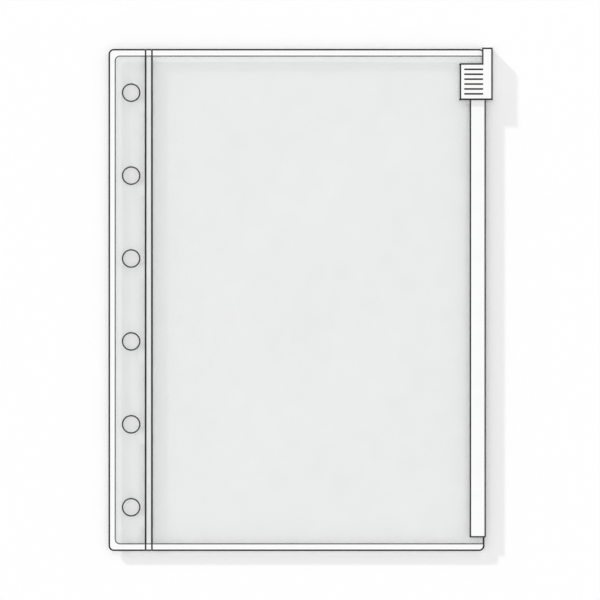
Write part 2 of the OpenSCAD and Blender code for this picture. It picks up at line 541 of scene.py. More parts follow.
@dataclass(frozen=True)
class ClearFilm:
    """Clear, faintly frosted film: tinted see-through, a little haze and a glossy face."""

    name: str = "clear_film"
    tint: Colour = (0.998, 0.9993, 0.9985)
    haze_colour: Colour = (0.945, 0.957, 0.951)
    haze: Range = (0.034, 0.048)
    roughness: Range = (0.045, 0.11)
    face_shine: float = 0.0245
    edge_power: float = 5.0
    cloud_scale: float = 55.0
    peel_scale: float = 420.0
    peel_depth: float = 0.02
    scuff_scale: float = 260.0
    scuff_stretch: Triple = (14.0, 0.6, 1.0)
    scuff_turn: float = 24.0
    scuff_depth: float = 0.004

    def material(self) -> bpy.types.Material:
        """Builds the film's node tree.

        Returns:
            The finished material.
        """
        graph = Graph(self.name)
        cloud = graph.noise(self.cloud_scale, 2.0)
        peel = graph.noise(self.peel_scale, 2.0)
        scuff = graph.noise(self.scuff_scale, 4.0, self.scuff_stretch, self.scuff_turn)
        normal = graph.bump(scuff, self.scuff_depth, graph.bump(peel, self.peel_depth))
        clear = graph.add("ShaderNodeBsdfTransparent", Color=(*self.tint, 1.0))
        haze = graph.add("ShaderNodeBsdfDiffuse", Color=(*self.haze_colour, 1.0), Normal=normal)
        body = graph.mix(graph.spread(cloud, *self.haze), clear, haze)
        rough = graph.spread(scuff, *self.roughness)
        gloss = graph.add("ShaderNodeBsdfAnisotropic", Roughness=rough, Normal=normal)
        facing = graph.add("ShaderNodeLayerWeight", Blend=0.5, Normal=normal).outputs["Facing"]
        rise = graph.reckon("POWER", facing, self.edge_power)
        shine = graph.add("ShaderNodeMapRange", Value=rise, To_Min=self.face_shine)
        return graph.finish(graph.mix(shine.outputs["Result"], body, gloss))


@dataclass(frozen=True)
class WeldBand:
    """Film pressed white by the weld, with the fine cross ribs of the welding bar."""

    name: str = "weld_band"
    pale: Colour = (0.955, 0.958, 0.956)
    paler: Colour = (0.975, 0.977, 0.976)
    roughness: Range = (0.44, 0.6)
    specular: float = 0.16
    mottle_scale: float = 700.0
    rib_scale: float = 640.0
    rib_sway: float = 0.4
    depth: float = 0.012

    def material(self) -> bpy.types.Material:
        """Builds the band's node tree.

        Returns:
            The finished material.
        """
        graph = Graph(self.name)
        mottle = graph.noise(self.mottle_scale, 4.0)
        normal = graph.bump(mottle, self.depth)
        for direction in ("X", "Y"):
            rib = graph.add(
                "ShaderNodeTexWave", {"wave_type": "BANDS", "bands_direction": direction},
                Vector=graph.place, Scale=self.rib_scale, Distortion=self.rib_sway
            )
            normal = graph.bump(rib.outputs["Fac"], self.depth, normal)
        return graph.plastic(
            Base_Color=graph.blend(mottle, self.pale, self.paler),
            Roughness=graph.spread(mottle, *self.roughness), Specular_IOR_Level=self.specular, Normal=normal
        )


@dataclass(frozen=True)
class PaintedShadeLine:
    """Dark plastic of the beads, the holes' cut edges and the lines along the zip, as painted shade: it
    stands for the dark look of the film's cut edges and welds and for the shade on the zip's rounded edges,
    ends and grip grooves.
    """

    name: str
    dark: Colour
    darker: Colour
    roughness: Range = (0.3, 0.46)
    specular: float = 0.12
    cloud_scale: float = 90.0
    grain_scale: float = 1500.0
    grain_depth: float = 0.012

    def material(self) -> bpy.types.Material:
        """Builds the line's node tree.

        Returns:
            The finished material.
        """
        graph = Graph(self.name)
        cloud = graph.noise(self.cloud_scale, 3.0)
        grain = graph.noise(self.grain_scale, 3.0)
        return graph.plastic(
            Base_Color=graph.blend(cloud, self.dark, self.darker),
            Roughness=graph.spread(grain, *self.roughness), Specular_IOR_Level=self.specular,
            Normal=graph.bump(grain, self.grain_depth)
        )


@dataclass(frozen=True)
class WhitePlastic:
    """White plastic of the zip: drawn lengthwise on the track, finely eroded on the slider."""

    name: str
    stretch: Triple
    grain_scale: float
    grain_depth: float
    pale: Colour = (0.945, 0.947, 0.946)
    paler: Colour = (0.97, 0.97, 0.968)
    roughness: Range = (0.48, 0.64)
    specular: float = 0.12
    cloud_scale: float = 120.0

    def material(self) -> bpy.types.Material:
        """Builds the plastic's node tree.

        Returns:
            The finished material.
        """
        graph = Graph(self.name)
        cloud = graph.noise(self.cloud_scale, 3.0)
        grain = graph.noise(self.grain_scale, 4.0, self.stretch)
        return graph.plastic(
            Base_Color=graph.blend(cloud, self.pale, self.paler),
            Roughness=graph.spread(grain, *self.roughness), Specular_IOR_Level=self.specular,
            Normal=graph.bump(grain, self.grain_depth)
        )


class Finishes:
    """All finishes of the pocket, each made once."""

    def __init__(self) -> None:
        """Builds the materials."""
        # Painted shade: the beads, the hole rims and the zip's lines are dark to stand for the dark look of
        # the film's cut edges and welds and for the shade on the zip's edges and in its grooves.
        bead = PaintedShadeLine("smoked_bead", (0.020, 0.020, 0.021), (0.028, 0.028, 0.030))
        fine_bead = PaintedShadeLine("fine_bead", (0.052, 0.053, 0.054), (0.074, 0.075, 0.077))
        line = PaintedShadeLine("zip_line", (0.021, 0.021, 0.022), (0.030, 0.030, 0.032), roughness=(0.4, 0.55))
        self.film = ClearFilm().material()
        # The crease strip's stronger white haze is partly the real whitening of the pressed film and partly
        # painted light that lifts the strip out of the shade the crease beads throw.
        self.pressed_film = ClearFilm("pressed_film", haze=(0.6, 0.68)).material()
        self.band = WeldBand().material()
        self.bead = bead.material()
        self.fine_bead = fine_bead.material()
        self.track = WhitePlastic("track_white", (30.0, 0.6, 30.0), 60.0, 0.010).material()
        self.slider = WhitePlastic("slider_white", (1.0, 1.0, 1.0), 2600.0, 0.016).material()
        self.line = line.material()


class NodeTool(NodeTree):
    """A Geometry Nodes tree with named inputs, which can also be fed by their names."""

    CREASE_DEG = 50.0

    def __init__(self, name: str, inputs: Sequence[tuple[str, str]]) -> None:
        """Starts a tree with a geometry input and output and its named inputs.

        Args:
            name: Name of the tree.
            inputs: Name and socket type of each input, in order.
        """
        super().__init__(bpy.data.node_groups.new(name, "GeometryNodeTree"))
        sockets = self.tree.interface
        for way in ("INPUT", "OUTPUT"):
            sockets.new_socket("Geometry", in_out=way, socket_type="NodeSocketGeometry")
        self.names = {
            label: sockets.new_socket(label, in_out="INPUT", socket_type=kind).identifier
            for label, kind in inputs
        }
        self.source = self.add("NodeGroupInput")
        self.result = self.add("NodeGroupOutput")

    def feed(self, socket: bpy.types.NodeSocket, value: Any) -> None:
        """Links a socket or a named input to an input, or sets the input's own value."""
        super().feed(socket, self.source.outputs[value] if isinstance(value, str) else value)

    def half(self, label: str) -> bpy.types.NodeSocket:
        """Half of a named input."""
        return self.reckon("MULTIPLY", label, 0.5)

    def oval(self, width: str, thickness: str, sides: str) -> bpy.types.NodeSocket:
        """A flattened round section.

        Args:
            width: Name of the input that gives its width.
            thickness: Name of the input that gives its thickness.
            sides: Name of the input that gives its number of sides.

        Returns:
            The section as a curve.
        """
        circle = self.add("GeometryNodeCurvePrimitiveCircle", Resolution=sides, Radius=1.0)
        scale = self.add("ShaderNodeCombineXYZ", X=self.half(width), Y=self.half(thickness), Z=1.0)
        shaped = self.add("GeometryNodeTransform", Geometry=circle.outputs[0], Scale=scale.outputs[0])
        return shaped.outputs[0]

    def close(self, geometry: bpy.types.NodeSocket) -> None:
        """Realizes what the tree made, gives it its material and sends it out.

        Args:
            geometry: What the tree made.
        """
        smooth = self.add("GeometryNodeSetShadeSmooth", Geometry=geometry)
        real = self.add("GeometryNodeRealizeInstances", Geometry=smooth.outputs[0])
        dressed = self.add("GeometryNodeSetMaterial", Geometry=real.outputs[0], Material="Material")
        self.feed(self.result.inputs[0], dressed.outputs[0])

    def fit(self, holder: bpy.types.Object, values: dict[str, Any]) -> bpy.types.Modifier:
        """Puts the tree on an object.

        Args:
            holder: Object that takes the tree as a modifier.
            values: Value of each named input.

        Returns:
            The modifier.
        """
        modifier = holder.modifiers.new(self.tree.name, "NODES")
        modifier.node_group = self.tree
        for label, value in values.items():
            modifier[self.names[label]] = value
        return modifier

    def make(self, name: str, carrier: bpy.types.ID, values: dict[str, Any]) -> bpy.types.Object:
        """Runs the tree and keeps its result as a plain mesh.

        Args:
            name: Name of the piece.
            carrier: Curve or mesh data that the tree starts from.
            values: Value of each named input.

        Returns:
            The new piece, with no modifier.
        """
        holder = bpy.data.objects.new(name + "_path", carrier)
        bpy.context.scene.collection.objects.link(holder)
        modifier = self.fit(holder, values)
        depsgraph = bpy.context.evaluated_depsgraph_get()
        mesh = bpy.data.meshes.new_from_object(holder.evaluated_get(depsgraph))
        holder.modifiers.remove(modifier)
        bpy.data.objects.remove(holder)
        return finished_object(name, mesh, self.CREASE_DEG)


class BeadSweep(NodeTool):
    """Runs a flattened round section along drawn paths."""

    SIDES = 14

    def __init__(self) -> None:
        """Builds the tree."""
        super().__init__("bead_sweep", (
            ("Width", "NodeSocketFloat"), ("Thickness", "NodeSocketFloat"),
            ("Sides", "NodeSocketInt"), ("Material", "NodeSocketMaterial"),
        ))
        turned = self.add("GeometryNodeSetCurveNormal", {"mode": "Z_UP"}, Curve="Geometry")
        swept = self.add(
            "GeometryNodeCurveToMesh", Curve=turned.outputs[0],
            Profile_Curve=self.oval("Width", "Thickness", "Sides"), Fill_Caps=True
        )
        self.close(swept.outputs[0])

    def run(
        self, name: str, paths: Sequence[np.ndarray], size: Range, material: bpy.types.Material
    ) -> bpy.types.Object:
        """Sweeps one bead, or several that belong to one piece.

        Args:
            name: Name of the piece.
            paths: Paths of the beads' middles, in the frame's metres.
            size: Width of the bead and its thickness through both faces.
            material: Finish of the bead.

        Returns:
            The new piece.
        """
        data = bpy.data.curves.new(name, "CURVE")
        data.dimensions = "3D"
        for path in paths:
            spline = data.splines.new("POLY")
            spline.points.add(len(path) - 1)
            spline.points.foreach_set("co", np.column_stack((path, np.ones(len(path)))).ravel())
        width, thickness = size
        return self.make(name, data, {
            "Width": width * MM, "Thickness": thickness * MM, "Sides": self.SIDES, "Material": material
        })


class HoleEdges(NodeTool):
    """Sets the pressed rim of a ring hole at each place of a row."""

    RIM_SIDES = 10
    STEPS = 64

    def __init__(self) -> None:
        """Builds the tree."""
        super().__init__("hole_edges", (
            ("Hole Radius", "NodeSocketFloat"), ("Rim Width", "NodeSocketFloat"),
            ("Rim Thickness", "NodeSocketFloat"), ("Rim Sides", "NodeSocketInt"),
            ("Steps", "NodeSocketInt"), ("Count", "NodeSocketInt"), ("First", "NodeSocketVector"),
            ("Pitch", "NodeSocketVector"), ("Material", "NodeSocketMaterial"),
        ))
        reach = self.reckon("ADD", "Hole Radius", self.half("Rim Width"))
        circle = self.add("GeometryNodeCurvePrimitiveCircle", Resolution="Steps", Radius=reach)
        rim = self.add(
            "GeometryNodeCurveToMesh", Curve=circle.outputs[0],
            Profile_Curve=self.oval("Rim Width", "Rim Thickness", "Rim Sides")
        )
        row = self.add(
            "GeometryNodeMeshLine", {"mode": "OFFSET"},
            Count="Count", Start_Location="First", Offset="Pitch"
        )
        placed = self.add("GeometryNodeInstanceOnPoints", Points=row.outputs[0], Instance=rim.outputs[0])
        self.close(placed.outputs[0])


class SinkingFloor(NodeTool):
    """Lays the floor lower at a pose that bends the margin down, so that it hides nothing."""

    def __init__(self) -> None:
        """Builds the tree."""
        super().__init__("sinking_floor", (
            ("Margin", "NodeSocketObject"), ("Material", "NodeSocketMaterial"),
        ))
        seen = self.add("GeometryNodeObjectInfo", {"transform_space": "RELATIVE"}, Object="Margin")
        box = self.add("GeometryNodeBoundBox", Geometry=seen.outputs["Geometry"])
        lowest = self.add("ShaderNodeSeparateXYZ", Vector=box.outputs["Min"]).outputs["Z"]
        shift = self.add("ShaderNodeCombineXYZ", Z=self.reckon("MINIMUM", lowest, 0.0))
        moved = self.add("GeometryNodeSetPosition", Geometry="Geometry", Offset=shift.outputs[0])
        self.close(moved.outputs[0])


@dataclass
class Workshop:
    """What every sub-assembly is built with."""

    space: SheetSpace
    finishes: Finishes
    sweep: BeadSweep = field(default_factory=BeadSweep)

    def bead(
        self, name: str, paths: Sequence[np.ndarray], size: Range, material: bpy.types.Material
    ) -> bpy.types.Object:
        """Sweeps one bead, or several that belong to one piece, along flat paths."""
        placed = [self.space.points(np.column_stack((path, np.zeros(len(path))))) for path in paths]
        return self.sweep.run(name, placed, size, material)

    def keep(self, piece: bpy.types.Object, body: str, slot: str, *nodes: str) -> None:
        """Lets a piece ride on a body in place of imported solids, and reports it."""
        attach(piece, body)
        self.note(piece, slot, *nodes)

    def flex(self, piece: bpy.types.Object, sides: Range, slot: str, *nodes: str) -> None:
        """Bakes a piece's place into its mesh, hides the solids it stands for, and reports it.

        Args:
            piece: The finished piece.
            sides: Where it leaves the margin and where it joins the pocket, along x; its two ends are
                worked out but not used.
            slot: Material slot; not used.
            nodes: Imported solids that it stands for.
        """
        start, end = (self.space.point(x, 0) for x in sides)
        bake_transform(piece)
        self.note(piece, slot, *nodes)

    def note(self, piece: bpy.types.Object, slot: str, *nodes: str) -> None:
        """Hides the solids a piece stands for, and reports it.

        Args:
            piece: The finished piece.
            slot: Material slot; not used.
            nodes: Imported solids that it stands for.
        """
        if nodes:
            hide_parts(*nodes)
        LOG.info("%s: %d faces", piece.name, len(piece.data.polygons))


@dataclass(frozen=True)
class Sheet:
    """Sizes that the margin, the crease and the pocket share."""

    width: float = 161.0
    height: float = 215.0
    corner_r: float = 2.3
    side_weld: float = 3.1
    end_weld: float = 3.3
    inner_r: float = 1.8
    edge_bead: float = 0.8
    inner_bead: float = 0.5
    bead_t: float = 0.6
    band_t: float = 0.4
    band_dip: float = 0.025
    band_steps: int = 5
    film_t: float = 0.2
    film_z: float = 0.15
    margin_crease: float = 15.9
    pocket_crease: float = 18.6
    crease_bead: float = 0.8
    crease_bead_t: float = 0.72
    crease_steps: int = 43
    web_t: float = 0.3
    tuck: float = 0.25

    @property
    def edge(self) -> float:
        """Distance from the cut edge to the middle of its bead."""
        return self.edge_bead / 2

    @property
    def inner_side(self) -> float:
        """Distance from the punched edge to the weld's inner line."""
        return self.side_weld - self.inner_bead / 2

    @property
    def inner_end(self) -> float:
        """Distance from the top or bottom edge to the weld's inner line."""
        return self.end_weld - self.inner_bead / 2

    def end_y(self, end: End, inset: float) -> float:
        """Height of a line that lies a given distance inside one end."""
        return inset if end is End.BOTTOM else self.height - inset

    def flipped(self, points: np.ndarray) -> np.ndarray:
        """Flat points mirrored to the other end of the page."""
        return points * np.array((1.0, -1.0)) + np.array((0.0, self.height))

    def crease_line(self, x: float) -> np.ndarray:
        """Middle of a crease bead at the place x."""
        return upright(x, np.linspace(self.edge, self.height - self.edge, self.crease_steps + 1))

    def band(self, outer: np.ndarray, inner: np.ndarray) -> MeshDraft:
        """A pressed band between two lines.

        Args:
            outer: Flat points of the outer line.
            inner: As many flat points of the inner line.

        Returns:
            The draft of a closed body, a little hollow between its lines.
        """
        across = np.linspace(0.0, 1.0, self.band_steps + 1)
        flat = outer[:, None, :] + (inner - outer)[:, None, :] * across[None, :, None]
        half = self.band_t / 2 - self.band_dip * 4 * across * (1 - across)
        height = np.broadcast_to(half[None, :, None], (*flat.shape[:2], 1))
        upper = np.concatenate((flat, height), axis=2)
        lower = upper[:, ::-1, :] * np.array((1.0, 1.0, -1.0))
        draft = MeshDraft()
        draft.loft(np.concatenate((upper, lower), axis=1))
        return draft


@dataclass
class SheetPart:
    """A part of the sheet, with the builds that the margin and the pocket share."""

    shop: Workshop
    sheet: Sheet

    def build_weld(
        self, name: str, body: str, lines: Sequence[np.ndarray], edge: np.ndarray
    ) -> tuple[bpy.types.Object, bpy.types.Object]:
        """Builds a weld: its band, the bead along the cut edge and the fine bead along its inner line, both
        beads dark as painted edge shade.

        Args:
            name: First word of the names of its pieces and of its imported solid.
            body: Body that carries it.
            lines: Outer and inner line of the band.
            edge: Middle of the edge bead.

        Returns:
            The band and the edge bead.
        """
        sheet, shop, looks = self.sheet, self.shop, self.shop.finishes
        node = f"{name}_weld_seam"
        band = sheet.band(*lines).piece(f"{name}_weld_band", shop.space, [looks.band])
        shop.keep(band, body, "weld_band", node)
        rim = shop.bead(f"{name}_edge_bead", [edge], (sheet.edge_bead, sheet.bead_t), looks.bead)
        shop.keep(rim, body, "weld_bead", node)
        size = (sheet.inner_bead, sheet.bead_t)
        fine = shop.bead(f"{name}_inner_bead", [lines[1]], size, looks.fine_bead)
        shop.keep(fine, body, "weld_bead", node)
        return band, rim

    def build_crease(self, body: str, x: float) -> None:
        """Builds one of the two crease beads, dark as painted edge shade.

        Args:
            body: Body that carries it.
            x: Its place along x.
        """
        sheet, shop = self.sheet, self.shop
        size = (sheet.crease_bead, sheet.crease_bead_t)
        bead = shop.bead(f"{body}_crease_bead", [sheet.crease_line(x)], size, shop.finishes.bead)
        shop.keep(bead, body, "weld_bead", f"{body}_crease_weld")

    def build_films(
        self, body: str, pattern: FlatPattern,
        height: Callable[[Side, np.ndarray, np.ndarray], np.ndarray], bands: list[bpy.types.Object]
    ) -> None:
        """Builds the front and the rear film.

        Args:
            body: Body that carries them.
            pattern: Their flat cut.
            height: Height of a film's middle at flat places x and y.
            bands: Bands that hold them; not used.
        """
        shop = self.shop
        for side in Side:
            node = f"{body}_{side.name.lower()}_film"
            draft = pattern.thickened(partial(height, side), self.sheet.film_t)
            film = draft.piece(node + "_sheet", shop.space, [shop.finishes.film])
            shop.keep(film, body, "clear_film", node)


@dataclass
class PunchedMargin(SheetPart):
    """The punched margin: two films, a weld round three sides, hole rims and the first crease bead."""

    hole_x: float = 9.7
    hole_first: float = 18.75
    hole_pitch: float = 35.5
    hole_count: int = 6
    hole_r: float = 3.4
    rim_w: float = 0.6
    rim_t: float = 0.56
    swell: float = 0.10
    sway: float = 0.5
    sway_pitch: float = 3.1
    hole_rise: Range = (0.5, 7.0)
    weld_rise: float = 4.0
    end_rise: float = 5.0
    crease_fall: Range = (11.0, 15.2)
    cell: float = 7.5
    columns: int = 12
    row: float = 1.6
    ring_shares: tuple[float, ...] = (0.0, 0.1, 0.25, 0.45, 0.7, 1.0)
    corner_steps: int = 12
    end_steps: int = 5
    side_steps: int = 59

    def loop(self, side: float, end: float, radius: float) -> np.ndarray:
        """A line round the margin, from the crease along the bottom, up and back along the top.

        Args:
            side: Distance from the punched edge.
            end: Distance from the top and bottom edges.
            radius: Radius of its two corners.

        Returns:
            Flat points of the line, equally many for every line.
        """
        low = arc((side + radius, end + radius), radius, 270.0, 180.0, self.corner_steps)
        run = np.linspace(self.sheet.margin_crease, low[0, 0], self.end_steps + 1)[:-1]
        bottom = np.vstack((level(run, end), low))
        rise = np.linspace(low[-1, 1], self.sheet.height - low[-1, 1], self.side_steps + 1)[1:-1]
        return np.vstack((bottom, upright(side, rise), self.sheet.flipped(bottom[::-1])))

    def edge_line(self) -> np.ndarray:
        """Middle of the bead along the cut edge."""
        return self.loop(self.sheet.edge, self.sheet.edge, self.sheet.corner_r - self.sheet.edge)

    def inner_line(self) -> np.ndarray:
        """Middle of the fine bead along the weld's inner side."""
        sheet = self.sheet
        return self.loop(sheet.inner_side, sheet.inner_end, sheet.inner_r + sheet.inner_bead / 2)

    def pattern(self) -> FlatPattern:
        """Draws the flat cut of one margin film.

        Returns:
            The cut, with its six holes.
        """
        sheet = self.sheet
        made = FlatPattern()
        left = sheet.side_weld - sheet.tuck
        right = sheet.margin_crease - sheet.crease_bead / 2 + sheet.tuck
        low, high = sheet.end_weld - sheet.tuck, sheet.height - sheet.end_weld + sheet.tuck
        columns = np.linspace(left, right, self.columns + 1)
        start = low
        for i in range(self.hole_count):
            centre = np.array((self.hole_x, self.hole_first + i * self.hole_pitch))
            self.strip(made, columns, spaced(start, centre[1] - self.cell, self.row), (low, high))
            self.hole_cell(made, columns, centre)
            start = centre[1] + self.cell
        self.strip(made, columns, spaced(start, high, self.row), (low, high))
        return made

    def strip(self, made: FlatPattern, columns: np.ndarray, rows: np.ndarray, ends: Range) -> None:
        """Adds a plain stretch of the margin, drawn in at the weld's round corners.

        Args:
            made: Pattern to add to.
            columns: Places of its columns along x.
            rows: Places of its rows along y.
            ends: Bottom and top of the film.
        """
        radius = self.sheet.inner_r
        depth = np.clip(radius - np.minimum(rows - ends[0], ends[1] - rows), 0.0, radius)
        left = columns[0] + radius - np.sqrt(radius * radius - depth * depth)
        share = (columns - columns[0]) / (columns[-1] - columns[0])
        x = left[:, None] + (columns[-1] - left)[:, None] * share[None, :]
        made.block(np.dstack((x, np.broadcast_to(rows[:, None], x.shape))))

    def hole_cell(self, made: FlatPattern, columns: np.ndarray, centre: np.ndarray) -> None:
        """Adds the stretch of the margin round one hole.

        Args:
            made: Pattern to add to.
            columns: Places of its columns along x.
            centre: Centre of the hole.
        """
        rows = np.linspace(centre[1] - self.cell, centre[1] + self.cell, len(columns))
        rim = np.vstack((
            level(columns[:-1], rows[0]), upright(columns[-1], rows[:-1]),
            level(columns[:0:-1], rows[-1]), upright(columns[0], rows[:0:-1]),
        ))
        away = rim - centre
        edge = centre + away / np.linalg.norm(away, axis=1)[:, None] * (self.hole_r + self.rim_w / 2)
        made.block(np.array([edge + (rim - edge) * share for share in self.ring_shares]), closed=True)

    def film_height(self, side: Side, x: np.ndarray, y: np.ndarray) -> np.ndarray:
        """The height of one margin film's middle.

        Args:
            side: Which film.
            x: Flat places along x.
            y: Flat places along y.

        Returns:
            The height at each place.
        """
        sheet = self.sheet
        number = np.clip(np.round((y - self.hole_first) / self.hole_pitch), 0, self.hole_count - 1)
        nearest = self.hole_first + number * self.hole_pitch
        off_hole = ramp(*self.hole_rise, np.hypot(x - self.hole_x, y - nearest) - self.hole_r)
        off_weld = ramp(sheet.side_weld, sheet.side_weld + self.weld_rise, x)
        off_crease = 1 - ramp(*self.crease_fall, x)
        off_end = ramp(sheet.end_weld, sheet.end_weld + self.end_rise, np.minimum(y, sheet.height - y))
        wave = 1.0 + self.sway * np.sin(y / self.sway_pitch + side.value)
        return side.value * (sheet.film_z + self.swell * off_hole * off_weld * off_crease * off_end * wave)

    def build(self) -> bpy.types.Object:
        """Builds and dresses the margin's pieces.

        Returns:
            The bead along its outer edge, the piece that reaches furthest when the margin bends.
        """
        edge = self.edge_line()
        band, rim = self.build_weld("margin", "margin", (edge, self.inner_line()), edge)
        self.build_crease("margin", self.sheet.margin_crease)
        self.build_films("margin", self.pattern(), self.film_height, [band])
        self.build_rims()
        return rim

    def build_rims(self) -> None:
        """Builds the pressed rims of the six ring holes, dark as painted shade of their cut edges."""
        empty = bpy.data.meshes.new("hole_row")
        rims = HoleEdges().make("ring_hole_rims", empty, {
            "Hole Radius": self.hole_r * MM, "Rim Width": self.rim_w * MM, "Rim Thickness": self.rim_t * MM,
            "Rim Sides": HoleEdges.RIM_SIDES, "Steps": HoleEdges.STEPS, "Count": self.hole_count,
            "First": self.shop.space.point(self.hole_x, self.hole_first),
            "Pitch": Vector((0.0, self.hole_pitch * MM, 0.0)), "Material": self.shop.finishes.bead,
        })
        self.shop.keep(rims, "margin", "weld_bead")


@dataclass
class CreaseStrip(SheetPart):
    """The strip between the two crease beads, which bends from the margin to the pocket."""

    columns: int = 12
    row: float = 5.0

    def sides(self) -> Range:
        """The strip's two sides, between the facing edges of the crease beads."""
        half = self.sheet.crease_bead / 2
        return self.sheet.margin_crease + half, self.sheet.pocket_crease - half

    def places(self) -> np.ndarray:
        """Places along x of the strip's points, from under one crease bead to under the other."""
        start, end = self.sides()
        return np.linspace(start - self.sheet.tuck, end + self.sheet.tuck, self.columns + 1)

    def strips(self, spans: Sequence[Range], thickness: float) -> MeshDraft:
        """Flat strips across the crease.

        Args:
            spans: Lowest and highest place of each strip along y.
            thickness: Thickness of the strips.

        Returns:
            The draft of one closed body for each strip.
        """
        x = self.places()
        section = np.vstack((level(x, thickness / 2), level(x[::-1], -thickness / 2)))
        draft = MeshDraft()
        for low, high in spans:
            draft.loft(np.array([stood(section, y) for y in spaced(low, high, self.row)]))
        return draft

    def lines(self, inset: float) -> list[np.ndarray]:
        """Short lines across the crease near both ends of the page."""
        return [level(self.places(), self.sheet.end_y(end, inset)) for end in End]

    def build(self) -> None:
        """Builds and dresses the strip's pieces."""
        sheet, shop, looks = self.sheet, self.shop, self.shop.finishes
        low, high = sheet.inner_end, sheet.height - sheet.inner_end
        ends = ((sheet.edge, low), (high, sheet.height - sheet.edge))
        film = self.strips([(low, high)], sheet.web_t)
        bands = self.strips(ends, sheet.band_t)
        edges, edge_size = self.lines(sheet.edge), (sheet.edge_bead, sheet.bead_t)
        inner, inner_size = self.lines(sheet.inner_end), (sheet.inner_bead, sheet.bead_t)
        pieces = (
            ("clear_film", film.piece("crease_strip_film", shop.space, [looks.pressed_film])),
            ("weld_band", bands.piece("crease_strip_bands", shop.space, [looks.band])),
            ("weld_bead", shop.bead("crease_strip_edge_beads", edges, edge_size, looks.bead)),
            ("weld_bead", shop.bead("crease_strip_inner_beads", inner, inner_size, looks.fine_bead)),
        )
        for slot, piece in pieces:
            shop.flex(piece, self.sides(), slot, "crease_web")


@dataclass(frozen=True)
class Puckers:
    """Small folds that a weld or a crease draws into the film beside it."""

    pitch: float
    drift: float
    sway: float
    reach: float
    start: float = 0.9

    def height(self, along: np.ndarray, away: np.ndarray, shift: float) -> np.ndarray:
        """The folds' height, up to 1.

        Args:
            along: Places along the weld.
            away: Distances from the weld.
            shift: Phase of the folds.

        Returns:
            The height at each place.
        """
        drifting = self.sway * np.sin(along / self.drift + shift)
        fold = 0.5 + 0.5 * np.sin(along / self.pitch + drifting + shift)
        return np.exp(-away / self.reach) * (1.0 - np.exp(-away / self.start)) * fold


